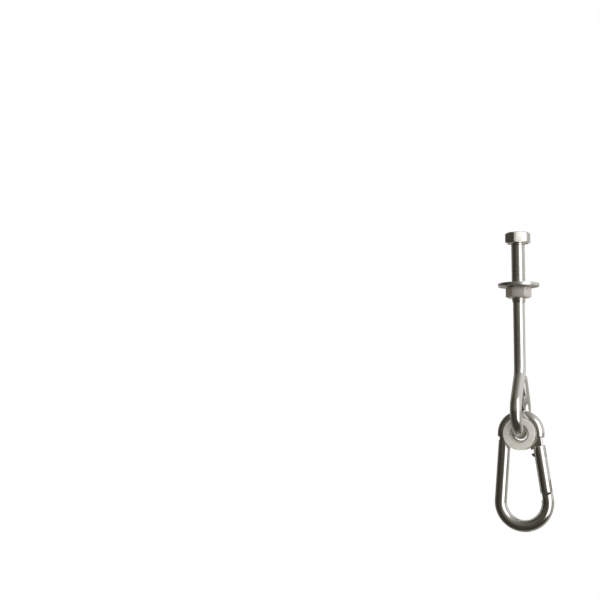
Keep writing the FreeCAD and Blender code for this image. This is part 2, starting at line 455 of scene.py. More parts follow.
    @staticmethod
    def modify(piece: Piece, kind: str, settings: dict) -> None:
        """Adds a modifier and applies it.

        Args:
            piece: the object.
            kind: the modifier's type.
            settings: the modifier's settings by name.
        """
        Bench.take(piece)
        bpy.ops.object.modifier_add(type=kind)
        modifier = piece.modifiers[-1]
        for name, setting in settings.items():
            setattr(modifier, name, setting)
        bpy.ops.object.modifier_apply(modifier=modifier.name)

    @staticmethod
    def screw(piece: Piece, rise: float, turns: float, steps: int) -> None:
        """Winds an outline up about Z into a right-handed screw, and leaves it open.

        Args:
            piece: the object with the outline.
            rise: how far it climbs in all.
            turns: how many turns it makes.
            steps: how many segments a turn has.
        """
        count = round(steps * turns)
        Bench.modify(piece, "SCREW", {
            "screw_offset": rise, "angle": math.tau * turns, "steps": count, "render_steps": count})
        Bench.open(piece)
        Bench.weld()

    @staticmethod
    def combine(piece: Piece, tool: Piece, cut: Cut) -> None:
        """Cuts a piece with a tool or joins the tool to it, and uses the tool up."""
        Bench.modify(piece, "BOOLEAN", {"operation": cut.value, "solver": "EXACT", "object": tool})
        bpy.data.objects.remove(tool, do_unlink=True)

    @staticmethod
    def ease(piece: Piece, width: float, segments: int, angle: float) -> None:
        """Eases the edges sharper than an angle with a fine bevel."""
        Bench.modify(piece, "BEVEL", {
            "width": width, "segments": segments, "limit_method": "ANGLE", "angle_limit": angle})

    @staticmethod
    def polish(piece: Piece, sharp: float) -> None:
        """Merges doubled vertices and shades a piece smooth.

        Args:
            piece: the object.
            sharp: the least angle of an edge that stays sharp.
        """
        Bench.open(piece)
        Bench.weld()
        bpy.ops.mesh.normals_make_consistent(inside=False)
        bpy.ops.object.mode_set(mode="OBJECT")
        bpy.ops.object.shade_smooth_by_angle(angle=sharp)
        piece.select_set(False)


class Signal:
    """A shader socket that takes part in Python expressions."""

    def __init__(self, graph: "ShaderGraph", socket: bpy.types.NodeSocket) -> None:
        """Wraps one socket of a graph."""
        self.graph = graph
        self.socket = socket

    def _math(self, operation: str, first: Input, second: Input) -> "Signal":
        """Adds a Math node and gives its result."""
        return self.graph.node("ShaderNodeMath", {"operation": operation}, {0: first, 1: second})

    def __add__(self, other: Input) -> "Signal":
        """The sum."""
        return self._math("ADD", self, other)

    def __radd__(self, other: Input) -> "Signal":
        """The sum, with a number first."""
        return self._math("ADD", other, self)

    def __sub__(self, other: Input) -> "Signal":
        """The difference."""
        return self._math("SUBTRACT", self, other)

    def __rsub__(self, other: Input) -> "Signal":
        """The difference, with a number first."""
        return self._math("SUBTRACT", other, self)

    def __mul__(self, other: Input) -> "Signal":
        """The product."""
        return self._math("MULTIPLY", self, other)

    def __rmul__(self, other: Input) -> "Signal":
        """The product, with a number first."""
        return self._math("MULTIPLY", other, self)

    def larger(self, other: Input) -> "Signal":
        """The larger of two values."""
        return self._math("MAXIMUM", self, other)

    def rise(self, low: float, high: float) -> "Signal":
        """A smooth step from 0 at one value to 1 at another."""
        limits = {"Value": self, "From Min": low, "From Max": high}
        return self.graph.node("ShaderNodeMapRange", {"interpolation_type": "SMOOTHSTEP"}, limits)


class ShaderGraph:
    """The nodes of one material or of the world."""

    def __init__(self, tree: bpy.types.NodeTree) -> None:
        """Empties a node tree and takes it over."""
        tree.nodes.clear()
        self.tree = tree

    def node(self, kind: str, settings: dict, inputs: dict, output: int | str = 0) -> Signal:
        """Adds one node.

        Args:
            kind: the node's type.
            settings: the node's own settings, and a ramp's stops as pairs of place and colour.
            inputs: a value or a signal for each socket, by name or number.
            output: which of its outputs is wanted.

        Returns:
            The wanted output.
        """
        node = self.tree.nodes.new(kind)
        for name, setting in settings.items():
            if name == "stops":
                self._set_stops(node.color_ramp, setting)
            else:
                setattr(node, name, setting)
        for name, value in inputs.items():
            self._feed(node.inputs[name], value)
        return Signal(self, node.outputs[output])

    @staticmethod
    def _set_stops(ramp: bpy.types.ColorRamp, stops: list[tuple[float, Colour]]) -> None:
        """Sets the stops of a ramp.

        Args:
            ramp: the ramp.
            stops: pairs of place and colour.
        """
        while len(ramp.elements) < len(stops):
            ramp.elements.new(1.0)
        for element, (place, colour) in zip(ramp.elements, stops):
            element.position = place
            element.color = (*colour, 1.0)

    def _feed(self, socket: bpy.types.NodeSocket, value: Input) -> None:
        """Links a signal to a socket or sets the socket's own value.

        Args:
            socket: the socket.
            value: the signal, number, colour or vector.
        """
        if isinstance(value, Signal):
            self.tree.links.new(value.socket, socket)
        elif isinstance(value, tuple) and socket.type == "RGBA":
            socket.default_value = (*value, 1.0)
        else:
            socket.default_value = value

    def place(self) -> Signal:
        """The place on the piece, in metres."""
        return self.node("ShaderNodeTexCoord", {}, {}, "Object")

    def noise(self, place: Signal, scale: float, detail: float) -> Signal:
        """Soft noise between 0 and 1, with so many lumps to a metre and so many finer layers."""
        return self.node("ShaderNodeTexNoise", {}, {"Vector": place, "Scale": scale, "Detail": detail})

    def stretched(self, place: Signal, scale: Vector) -> Signal:
        """The place scaled along each axis, for a pattern with a direction."""
        return self.node("ShaderNodeMapping", {}, {"Vector": place, "Scale": scale})

    def mix(self, amount: Input, low: Input, high: Input) -> Signal:
        """A blend from one colour, at 0, to another, at 1."""
        return self.node("ShaderNodeMix", {"data_type": "RGBA"}, {0: amount, 6: low, 7: high}, 2)

    def bump(self, height: Signal, depth: float, strength: float) -> Signal:
        """A bumped normal from a relief between 0 and 1, with its depth in metres."""
        return self.node("ShaderNodeBump", {}, {"Strength": strength, "Distance": depth, "Height": height})

    def along(self, place: Signal, direction: Colour) -> Signal:
        """How far a place lies along a direction."""
        inputs = {0: place, 1: direction}
        return self.node("ShaderNodeVectorMath", {"operation": "DOT_PRODUCT"}, inputs, "Value")

    def reach(self, place: Signal) -> Signal:
        """How far a place is from the origin."""
        return self.node("ShaderNodeVectorMath", {"operation": "LENGTH"}, {0: place}, "Value")

    def surface(self, values: dict) -> None:
        """Adds the surface's shader, with a value or a signal for each socket in use, and its output."""
        self.end(self.node("ShaderNodeBsdfPrincipled", {}, values))

    def end(self, shader: Signal, kind: str = "ShaderNodeOutputMaterial") -> None:
        """Joins a finished shader to a new output."""
        last = self.tree.nodes.new(kind)
        self.tree.links.new(shader.socket, last.inputs["Surface"])


def new_material(name: str) -> tuple[bpy.types.Material, ShaderGraph]:
    """An empty material and its graph.

    Args:
        name: the material's name.

    Returns:
        The material and the graph that fills it.
    """
    material = bpy.data.materials.new(name)
    material.use_nodes = True
    return material, ShaderGraph(material.node_tree)


@dataclass(frozen=True)
class Steel:
    """Stainless steel: a tint, a gloss, fine lines from its making and faint handling marks.

    The lines' scale says how many of them fit in a metre along each axis. On a threaded piece, what lies
    above a height and below a radius, the grooves, is a little duller and carries painted shade that
    darkens it.
    """

    name: str
    tint: Colour
    shade: Colour
    gloss: float
    dulling: float
    line_scale: Vector
    line_depth: float
    line_show: float
    groove_from: float = 0.0
    groove_to: float = 0.0
    groove_above: float = 0.0
    # Painted shade in the thread's grooves: its colour and how much of it is mixed in.
    painted_groove_shade_colour: Colour = (0.2, 0.19, 0.18)
    painted_groove_shade_amount: float = 0.25
    groove_dulling: float = 0.08
    cloud_scale: float = 90.0
    cloud_detail: float = 4.0
    speck_scale: float = 900.0
    fine_detail: float = 3.0
    mark_rise: Range = (0.45, 0.75)
    mark_shade: float = 0.55
    mark_dulling: float = 0.6
    worn_rise: Range = (0.55, 0.8)
    worn_shade: float = 0.25
    worn_dulling: float = 0.4
    line_relief: float = 0.7
    speck_relief: float = 0.3

    def material(self) -> bpy.types.Material:
        """The steel as a material.

        Returns:
            The material.
        """
        material, graph = new_material(self.name)
        place = graph.place()
        cloud = graph.noise(place, self.cloud_scale, self.cloud_detail)
        specks = graph.noise(place, self.speck_scale, self.fine_detail)
        lines = graph.noise(graph.stretched(place, self.line_scale), 1.0, self.fine_detail)
        marks = cloud.rise(*self.mark_rise)
        worn = lines.rise(*self.worn_rise)
        colour = graph.mix(self.mark_shade * marks + self.worn_shade * worn, self.tint, self.shade)
        rough = self.gloss + self.dulling * (self.mark_dulling * marks + self.worn_dulling * worn)
        if self.groove_to > self.groove_from:
            across = graph.node("ShaderNodeVectorMath", {"operation": "MULTIPLY"}, {0: place, 1: (1, 1, 0)})
            threaded = graph.along(place, (0, 0, 1)).rise(self.groove_above, self.groove_above + MM)
            groove = threaded * (1 - graph.reach(across).rise(self.groove_from, self.groove_to))
            # Painted shade: the thread's grooves are darkened in the colour, while their extra roughness is
            # the steel's own.
            colour = graph.mix(self.painted_groove_shade_amount * groove, colour, self.painted_groove_shade_colour)
            rough = rough + self.groove_dulling * groove
        relief = self.line_relief * lines + self.speck_relief * specks
        graph.surface({
            "Base Color": colour,
            "Metallic": 1.0,
            "Roughness": rough,
            "Normal": graph.bump(relief, self.line_depth, self.line_show),
        })
        return material


@dataclass(frozen=True)
class Nylon:
    """Natural moulded nylon: milky, a little translucent, with a soft gloss."""

    name: str
    tint: Colour
    deep: Colour
    rough: float
    cloud_scale: float = 160.0
    cloud_detail: float = 3.0
    cloud_rise: Range = (0.35, 0.7)
    cloud_rough: float = 0.1
    grain_scale: float = 2600.0
    grain_detail: float = 2.0
    grain_depth: float = 0.03 * MM
    grain_show: float = 0.25
    refraction: float = 1.53
    milk: float = 0.35
    milk_spread: Colour = (1.0, 0.95, 0.85)
    milk_depth: float = 2.0 * MM
    clearness: float = 0.08

    def material(self) -> bpy.types.Material:
        """The nylon as a material.

        Returns:
            The material.
        """
        material, graph = new_material(self.name)
        place = graph.place()
        cloud = graph.noise(place, self.cloud_scale, self.cloud_detail)
        grain = graph.noise(place, self.grain_scale, self.grain_detail)
        graph.surface({
            "Base Color": graph.mix(cloud.rise(*self.cloud_rise), self.tint, self.deep),
            "Roughness": self.rough + self.cloud_rough * cloud,
            "IOR": self.refraction,
            "Subsurface Weight": self.milk,
            "Subsurface Radius": self.milk_spread,
            "Subsurface Scale": self.milk_depth,
            "Transmission Weight": self.clearness,
            "Normal": graph.bump(grain, self.grain_depth, self.grain_show),
        })
        return material


def wear(piece: Piece, look: bpy.types.Material) -> None:
    """Gives a piece one material all over."""
    piece.data.materials.clear()
    piece.data.materials.append(look)


def present(piece: Piece, look: bpy.types.Material, sharp: float, body: Body,
            node: str) -> None:
    """Finishes a piece and puts it on its body in place of its plain solid.

    Args:
        piece: the modelled object.
        look: its material.
        sharp: the least angle of an edge that stays sharp.
        body: the body that it rides on.
        node: the solid that it stands for.
    """
    Bench.polish(piece, sharp)
    wear(piece, look)
    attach(piece, body.value)
    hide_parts(node)
    LOG.info("%s: %d faces on %s", piece.name, len(piece.data.polygons), body.value)


@dataclass
class EyeBolt:
    """One bent bar: a threaded top, a straight shank and a drop-shaped eye.

    The thread's flank and crest begin and end at parts of its pitch.
    """

    thread_r: float = 4.0 * MM
    thread_depth: float = 0.18 * MM
    pitch: float = 1.25 * MM
    flank_from: float = 0.2
    crest_from: float = 0.44
    crest_to: float = 0.74
    thread_top: float = 30.0 * MM
    thread_bottom: float = -10.0 * MM
    runout: float = 1.5 * MM
    end_chamfer: float = 0.9 * MM
    wire_r: float = WIRE_R
    wire_end_round: float = 0.8 * MM
    eye_z: float = EYE_Z
    eye_r: float = EYE_R
    neck_r: float = 12.0 * MM
    neck_turn: float = math.radians(34.0)
    tip_y: float = 3.6 * MM
    tip_drop: float = 6.3 * MM
    tip_gap: float = 0.3 * MM
    overlap: float = 3.0 * MM
    thread_steps: int = 48
    blank_steps: int = 96
    neck_steps: int = 16
    eye_steps: int = 44
    tail_steps: int = 40
    end_steps: int = 5
    sharp: float = math.radians(32.0)
    run: float = field(init=False)
    neck_z: float = field(init=False)

    def __post_init__(self) -> None:
        """Works out the straight run between the neck's bend and the eye."""
        sine, cosine = math.sin(self.neck_turn), math.cos(self.neck_turn)
        self.run = (self.eye_r * cosine - self.neck_r * (1 - cosine)) / sine
        self.neck_z = self.eye_z + (self.eye_r + self.neck_r) * sine + self.run * cosine

    def _shank(self, name: str, radius: float) -> Piece:
        """The shank and its neck, down to where the eye's round begins.

        Args:
            name: the object's name.
            radius: the bar's radius.

        Returns:
            The open bar, in edit mode with its last ring selected.
        """
        start = Vector((0, 0, self.thread_bottom + self.overlap))
        shank = Bench.ring(name, radius, start, -AXIS_Z)
        Bench.run(Vector((0, 0, self.neck_z)) - start)
        Bench.bend(Vector((0, -self.neck_r, self.neck_z)), AXIS_X, -self.neck_turn, self.neck_steps)
        Bench.run(Vector((0, -math.sin(self.neck_turn), -math.cos(self.neck_turn))) * self.run)
        return shank

    def _wire(self) -> Piece:
        """The bar from inside the thread, round the eye, to the end that lies against the shank.

        Returns:
            The closed bar.
        """
        eye_centre = Vector((0, 0, self.eye_z))
        tip = Vector((0, self.tip_y, self.neck_z - self.tip_drop))
        reach = tip - eye_centre
        tip_turn = math.atan2(reach.z, reach.y) - math.acos(self.eye_r / reach.length)
        eye_end = eye_centre + Vector((0, math.cos(tip_turn), math.sin(tip_turn))) * self.eye_r
        away = (tip - eye_end).normalized()
        bottom = self.eye_z - self.eye_r
        wire = self._shank("eye_bolt_bar", self.wire_r)
        Bench.bend(eye_centre, AXIS_X, math.pi / 2 + self.neck_turn, self.eye_steps)
        tail = Bench.split_ring(wire, "eye_bolt_tail")
        Bench.bend(eye_centre, AXIS_X, math.pi / 2 + tip_turn, self.tail_steps)
        Bench.run(tip - eye_end)
        Bench.seal()
        Bench.soften_rim(
            lambda place: abs((place - tip).dot(away)) < WELD, self.wire_end_round, self.end_steps)
        hollow = self._shank("tip_hollow", self.wire_r + self.tip_gap)
        Bench.seal()
        Bench.combine(tail, hollow, Cut.REMOVE)
        Bench.open_end(tail, lambda place: abs(place.y) < WELD and abs(place.z - bottom) < 2 * self.wire_r)
        Bench.join(wire, tail)
        return wire

    def _thread(self) -> Piece:
        """The threaded length, with its chamfered end and its runout.

        Returns:
            The closed threaded rod.
        """
        root = self.thread_r - self.thread_depth
        low = self.thread_bottom - self.runout - self.overlap
        turns = math.ceil((self.thread_top + self.overlap - low) / self.pitch)
        groove = [(root, 0), (root, self.flank_from), (self.thread_r, self.crest_from),
                  (self.thread_r, self.crest_to), (root, 1)]
        thread = Bench.outline(
            "eye_bolt_thread", profile([(radius, low + part * self.pitch) for radius, part in groove]))
        Bench.screw(thread, turns * self.pitch, turns, self.thread_steps)
        for level, side in ((low + self.pitch, -AXIS_Z), (self.thread_top + self.pitch, AXIS_Z)):
            Bench.select()
            bpy.ops.mesh.bisect(plane_co=(0, 0, level), plane_no=side, use_fill=True,
                                clear_outer=True, threshold=WELD)
        Bench.seal()
        Bench.combine(thread, self._blank(), Cut.KEEP)
        return thread

    def _blank(self) -> Piece:
        """A turned blank that trims the thread to its chamfer and its runout.

        Returns:
            The closed blank.
        """
        wide = self.thread_r + self.end_chamfer
        rise = (wide - self.wire_r) * self.runout / (self.thread_r - self.wire_r)
        bottom = self.thread_bottom - self.runout
        return Bench.turned("eye_bolt_blank", [
            (0, bottom), (self.wire_r, bottom), (wide, bottom + rise),
            (wide, self.thread_top - 2 * self.end_chamfer),
            (self.thread_r - self.end_chamfer, self.thread_top), (0, self.thread_top),
        ], self.blank_steps)

    def build(self, steel: Steel) -> None:
        """Builds and dresses the bolt.

        Args:
            steel: the bolt's finish.
        """
        bolt = self._wire()
        Bench.combine(bolt, self._thread(), Cut.ADD)
        present(bolt, steel.material(), self.sharp, Body.BOLT, "eye_bolt")


@dataclass
class HexNut:
    """A hexagon nut with chamfered corners."""

    name: str
    node: str
    body: Body
    bottom: float
    turn: float
    flats: float = 13.0 * MM
    height: float = 6.5 * MM
    face_inset: float = 0.3 * MM
    chamfer: float = math.radians(30.0)
    hole_r: float = 4.05 * MM
    mouth: float = 0.4 * MM
    edge: float = 0.12 * MM
    edge_steps: int = 2
    edge_angle: float = math.radians(20.0)
    turn_steps: int = 96
    sharp: float = math.radians(24.0)

    def _turned(self, name: str, pairs: Pairs) -> Piece:
        """A turned form, from pairs of radius and height above the nut's lower face."""
        return Bench.turned(name, [(radius, self.bottom + up) for radius, up in pairs], self.turn_steps)

    def build(self, steel: Steel) -> None:
        """Builds and dresses the nut.

        Args:
            steel: the nut's finish.
        """
        sixth = math.pi / 6
        corner_r = self.flats / 2 / math.cos(sixth)
        face_r = self.flats / 2 - self.face_inset
        crown_r = corner_r + self.mouth
        fall = (crown_r - face_r) * math.tan(self.chamfer)
        mouth_r = self.hole_r + 2 * self.mouth
        Bench.clear()
        bpy.ops.mesh.primitive_cylinder_add(
            vertices=6, radius=corner_r, depth=self.height,
            location=(0, 0, self.bottom + self.height / 2), rotation=(0, 0, self.turn + sixth))
        nut = Bench.adopt(self.name)
        Bench.combine(nut, self._turned("nut_crown", [
            (0, 0), (face_r, 0), (crown_r, fall),
            (crown_r, self.height - fall), (face_r, self.height), (0, self.height),
        ]), Cut.KEEP)
        Bench.ease(nut, self.edge, self.edge_steps, self.edge_angle)
        Bench.combine(nut, self._turned("nut_hole", [
            (0, -self.mouth), (mouth_r, -self.mouth), (self.hole_r, self.mouth),
            (self.hole_r, self.height - self.mouth),
            (mouth_r, self.height + self.mouth), (0, self.height + self.mouth),
        ]), Cut.REMOVE)
        present(nut, steel.material(), self.sharp, self.body, self.node)


@dataclass
class Washer:
    """A large stamped washer with softened rims."""

    rim_r: float = 12.0 * MM
    hole_r: float = 4.2 * MM
    thickness: float = 2.0 * MM
    rim_round: float = 0.35 * MM
    rim_steps: int = 5
    hole_round: float = 0.12 * MM
    hole_steps: int = 3
    turn_steps: int = 128
    sharp: float = math.radians(40.0)

    def build(self, steel: Steel) -> None:
        """Builds and dresses the washer.

        Args:
            steel: the washer's finish.
        """
        low = -self.thickness
        hole_low, rim_low, rim_top, hole_top = profile([
            (self.hole_r, low), (self.rim_r, low), (self.rim_r, 0), (self.hole_r, 0)])
        washer = Bench.outline("washer_ring", [hole_low, rim_low, rim_top, hole_top, hole_low])
        Bench.weld()
        Bench.round_corners([rim_low, rim_top], self.rim_round, self.rim_steps)
        Bench.round_corners([hole_low, hole_top], self.hole_round, self.hole_steps)
        Bench.turn(AXIS_Z, self.turn_steps)
        present(washer, steel.material(), self.sharp, Body.WASHER, "washer")


@dataclass
class Bush:
    """A grooved sleeve on the eye's wire, with a hole that flares to both ends."""

    axis_z: float = BUSH_Z
    half_width: float = 5.5 * MM
    groove_half: float = 3.75 * MM
    hole_r: float = BUSH_HOLE_R
    flare_r: float = EYE_R - WIRE_R - SEAT_GAP
    root_r: float = 6.35 * MM
    flange_r: float = 9.45 * MM
    rim_round: float = 0.6 * MM
    groove_round: float = 1.0 * MM
    round_steps: int = 6
    flare_steps: int = 24
    turn_steps: int = 128
    sharp: float = math.radians(40.0)

    def build(self, nylon: Nylon) -> None:
        """Builds and dresses the bush.

        Args:
            nylon: the bush's finish.
        """
        flare = math.asin(self.half_width / self.flare_r)
        mouth_r = self.hole_r + self.flare_r * (1 - math.cos(flare))
        side, groove = self.half_width, self.groove_half
        mouths = [Vector((mouth_r, y, 0)) for y in (side, -side)]
        rims = [Vector((self.flange_r, y, 0)) for y in (side, groove, -groove, -side)]
        roots = [Vector((self.root_r, y, 0)) for y in (groove, -groove)]
        bush = Bench.outline("bush_sleeve", [mouths[0], *rims[:2], *roots, *rims[2:], mouths[1]])
        Bench.bend(Vector((self.hole_r + self.flare_r, 0, 0)), AXIS_Z, -2 * flare, self.flare_steps)
        Bench.weld()
        Bench.round_corners(rims, self.rim_round, self.round_steps)
        Bench.round_corners(roots, self.groove_round, self.round_steps)
        Bench.turn(AXIS_Y, self.turn_steps)
        Stand(Vector((0, 0, self.axis_z)), 0.0).settle(bush)
        present(bush, nylon.material(), self.sharp, Body.BUSH, "bush")


@dataclass
class SnapHook:
    """The snap hook: a bent bar, its spring gate and the two cross pins."""

    bush_z: float = BUSH_Z
    hang: float = math.radians(-1.8)
    bar_r: float = 3.5 * MM
    top_r: float = 10.15 * MM
    bow_r: float = 13.7 * MM
    bow_drop: float = 39.15 * MM
    leg_r: float = 9.25 * MM
    bend_steps: int = 72
    shoulder: float = math.radians(5.0)
    shoulder_notch_r: float = 1.1 * MM
    nose_end: float = math.radians(12.0)
    nose_round: float = 0.6 * MM
    nose_gap: float = 5.4 * MM
    tongue: float = 2.4 * MM
    tongue_gap: float = 0.1 * MM
    hinge_rise: float = 6.6 * MM
    hinge_pin_r: float = 1.25 * MM
    hinge_to_seam: float = 3.6 * MM
    seam_gap: float = 0.3 * MM
    seam_relief: float = 4.0 * MM
    hinge_tongue: float = 5.2 * MM
    cam: float = 2.6 * MM
    cam_gap: float = 0.4 * MM
    pin_gap: float = 0.03 * MM
    latch_pin_r: float = 1.0 * MM
    latch_inset: float = 2.2 * MM
    latch_gap: float = 0.15 * MM
    tongue_out: float = 2.4 * MM
    tongue_in: float = 2.0 * MM
    tongue_round: float = 0.9 * MM
    round_steps: int = 5
    barb_out: float = 1.2 * MM
    barb: float = 2.6 * MM
    lip_out: float = 1.2 * MM
    lip: float = 1.4 * MM
    floor_gap: float = 0.6 * MM
    notch_sweep: float = math.radians(28.0)
    notch_steps: int = 24
    bore_r: float = 1.8 * MM
    bore_wall: float = 1.9 * MM
    gate_chamfer: float = 0.4 * MM
    chamfer_steps: int = 3
    over: float = 1.0 * MM
    sharp: float = math.radians(30.0)
    lean: float = field(init=False)
    up: Vector = field(init=False)
    nose_up: float = field(init=False)
    gate_top: float = field(init=False)
    latch_up: float = field(init=False)
    latch_hole_r: float = field(init=False)
    barb_bottom: float = field(init=False)
    latch_floor: float = field(init=False)
    bore_end: float = field(init=False)
    hook_stand: Stand = field(init=False)
    gate_stand: Stand = field(init=False)

    def __post_init__(self) -> None:
        """Works out the places that follow from the sizes."""
        self.lean = math.asin((self.bow_r - self.leg_r) / self.bow_drop)
        hinge_drop = self.bow_drop * math.cos(self.lean) - self.hinge_rise
        self.nose_up = hinge_drop - self.leg_r * math.tan(self.lean + self.nose_end)
        self.gate_top = self.nose_up - self.nose_gap
        self.latch_up = self.gate_top - self.latch_inset
        self.latch_hole_r = self.latch_pin_r + self.latch_gap
        self.barb_bottom = self.latch_up - self.latch_hole_r - self.barb
        self.latch_floor = self.barb_bottom - self.floor_gap
        self.bore_end = self.latch_floor - self.bore_wall
        self.up = self._arc(1.0, self.lean + math.pi / 2)
        hinge = self._arc(self.leg_r, self.lean) - self.up * hinge_drop
        sine, cosine = math.sin(self.hang), math.cos(self.hang)
        hinge_x = hinge.x * cosine + hinge.z * sine
        hinge_z = hinge.z * cosine - hinge.x * sine + self.bush_z
        self.hook_stand = Stand(Vector((0, 0, self.bush_z)), self.hang)
        self.gate_stand = Stand(Vector((hinge_x, 0, hinge_z)), self.hang - self.lean)

    @staticmethod
    def _arc(radius: float, angle: float) -> Vector:
        """A point of the hook's plane on a circle, counted from +X towards +Z."""
        return Vector((radius * math.cos(angle), 0, radius * math.sin(angle)))

    def _top(self) -> Piece:
        """The round top from the spine's shoulder to the nose.

        Returns:
            The closed bar at its place.
        """
        start = math.pi + self.shoulder
        along = self._arc(1.0, start - math.pi / 2)
        top = Bench.ring("hook_bar", self.bar_r, self._arc(self.top_r, start), along)
        Bench.bend(Vector(), AXIS_Y, start + self.nose_end, self.bend_steps)
        Bench.seal()
        nose = self._arc(self.top_r, -self.nose_end)
        ahead = self._arc(1.0, -self.nose_end - math.pi / 2)
        Bench.soften_rim(lambda place: abs((place - nose).dot(ahead)) < WELD and place.x > 0,
                         self.nose_round, self.round_steps)
        return self.hook_stand.settle(top)

    def _limb(self) -> Piece:
        """The spine, the bow and the stub below the gate, with the seam and the notch cut.

        Returns:
            The closed bar at its place.
        """
        drop = Vector((0, 0, -self.bow_drop))
        spine_top = self._arc(self.leg_r, math.pi - self.lean)
        bow_start = self._arc(self.bow_r, math.pi - self.lean) + drop
        limb = Bench.ring("hook_limb", self.bar_r, spine_top, bow_start - spine_top)
        Bench.run(bow_start - spine_top)
        Bench.bend(drop, AXIS_Y, -(math.pi + 2 * self.lean), self.bend_steps)
        Bench.run(self.up * (self.hinge_rise - self.hinge_to_seam))
        Bench.seal()
        wide = self.bar_r + self.over
        shoulder = self._arc(self.top_r + self.bar_r, math.pi + self.shoulder)
        notch_z = shoulder.z - self.shoulder_notch_r
        notch_x = -(self.leg_r + self.bar_r - notch_z * math.sin(self.lean)) / math.cos(self.lean)
        notch, side = Vector((notch_x, 0, notch_z)), AXIS_Y * wide
        cutter = Bench.bar("notch", self.shoulder_notch_r, notch - side, notch + side)
        Bench.combine(limb, cutter, Cut.REMOVE)
        self.hook_stand.settle(limb)
        seam = self._flat("seam", [
            (wide, -self.hinge_to_seam), (self.bar_r, -self.hinge_to_seam),
            (-wide, -self.hinge_to_seam - self.seam_relief), (-wide, self.over), (wide, self.over),
        ], 2 * wide)
        Bench.combine(limb, seam, Cut.REMOVE)
        return limb

    def _flat(self, name: str, pairs: Pairs, thickness: float) -> Piece:
        """A flat plate, from pairs of distance across and along the gate from its hinge pin."""
        return self.gate_stand.settle(Bench.plate(name, pairs, thickness))

    def _cross(self, name: str, radius: float, up: float, half: float) -> Piece:
        """A round bar straight across the gate, so far above its hinge pin."""
        ends = Vector((0, -half, up)), Vector((0, half, up))
        return self.gate_stand.settle(Bench.bar(name, radius, *ends))

    def _along(self, name: str, radius: float, low: float, high: float) -> Piece:
        """A round bar along the gate's axis, with its two ends counted from the hinge pin."""
        ends = Vector((0, 0, low)), Vector((0, 0, high))
        return self.gate_stand.settle(Bench.bar(name, radius, *ends))

    def _latch_tongue(self) -> Piece:
        """The flat tongue below the nose, with its barb and the notch for the pin.

        Returns:
            The closed plate at its place.
        """
        barb_x = -self.bar_r - self.barb_out
        lip_x = -self.bar_r - self.lip_out
        lip_top = self.latch_up + self.latch_hole_r + self.lip
        root = self.nose_up + self.bar_r
        blade = Bench.plate("latch_tongue", [
            (self.tongue_out, root), (self.tongue_out, self.barb_bottom),
            (-self.bar_r, self.barb_bottom), (barb_x, self.barb_bottom + self.barb_out),
            (barb_x, self.latch_up), (lip_x, self.latch_up), (lip_x, lip_top),
            (-self.tongue_in, lip_top + self.lip), (-self.tongue_in, root),
        ], self.tongue)
        Bench.soften_lines((self.tongue_out, -self.tongue_in), self.tongue_round, self.round_steps)
        self.gate_stand.settle(blade)
        edges = (self.latch_up - self.latch_hole_r, self.latch_up + self.latch_hole_r)
        pin_way = Bench.outline("pin_way", [Vector((0, -self.bar_r, edge)) for edge in edges])
        Bench.select()
        Bench.bend(Vector(), AXIS_Y, -self.notch_sweep, self.notch_steps)
        Bench.thicken(AXIS_Y * 2 * self.bar_r)
        Bench.combine(blade, self.gate_stand.settle(pin_way), Cut.REMOVE)
        pin_seat = self._cross("pin_seat", self.latch_hole_r, self.latch_up, self.bar_r)
        Bench.combine(blade, pin_seat, Cut.REMOVE)
        return blade

    def _body(self) -> Piece:
        """The whole bent bar with its two tongues.

        Returns:
            The closed bar at its place.
        """
        half = self.hinge_tongue / 2
        hinge_tongue = self._flat("hinge_tongue", [
            (half, self.cam), (-half, self.cam), (-half, -self.hinge_rise), (half, -self.hinge_rise),
        ], self.tongue)
        body = self._top()
        for part in (self._limb(), hinge_tongue, self._latch_tongue()):
            Bench.combine(body, part, Cut.ADD)
        side = AXIS_Y * (self.bar_r + self.over)
        seat = self.hook_stand.settle(Bench.bar("bush_seat", self.top_r - self.bar_r, -side, side))
        Bench.combine(body, seat, Cut.REMOVE)
        hole = self._cross("hinge_hole", self.hinge_pin_r + self.pin_gap, 0.0, self.bar_r)
        Bench.combine(body, hole, Cut.REMOVE)
        return body

    def _gate(self) -> Piece:
        """The gate's bar with its slots, its bore and its pin holes.

        Returns:
            The closed bar at its place.
        """
        low, high = self.seam_gap - self.hinge_to_seam, self.gate_top
        gate = Bench.bar("gate_bar", self.bar_r, Vector((0, 0, low)), Vector((0, 0, high)))
        for end in (low, high):
            Bench.soften_rim(
                lambda place: abs(place.z - end) < WELD, self.gate_chamfer, self.chamfer_steps)
        self.gate_stand.settle(gate)
        wide = self.bar_r + self.over
        slot = self.tongue + 2 * self.tongue_gap
        hinge_floor = math.hypot(self.hinge_tongue / 2, self.cam) + self.cam_gap
        for name, bottom, top in (("latch_slot", self.latch_floor, high + self.over),
                                  ("hinge_slot", low - self.over, hinge_floor)):
            corners = [(wide, bottom), (wide, top), (-wide, top), (-wide, bottom)]
            Bench.combine(gate, self._flat(name, corners, slot), Cut.REMOVE)
        Bench.combine(gate, self._along("bore", self.bore_r, low - self.over, self.bore_end), Cut.REMOVE)
        for radius, up in ((self.hinge_pin_r, 0.0), (self.latch_pin_r, self.latch_up)):
            Bench.combine(gate, self._cross("pin_hole", radius + self.pin_gap, up, wide), Cut.REMOVE)
        return gate

    def _pin(self, name: str, radius: float, up: float) -> Piece:
        """A cross pin ground flush with the round sides of the gate.

        Args:
            name: the object's name.
            radius: the pin's radius.
            up: how far it is above the hinge pin.

        Returns:
            The closed pin at its place.
        """
        pin = self._cross(name, radius, up, self.bar_r + self.over)
        skin = self._along("gate_skin", self.bar_r, up - self.bar_r, up + self.bar_r)
        Bench.combine(pin, skin, Cut.KEEP)
        return pin

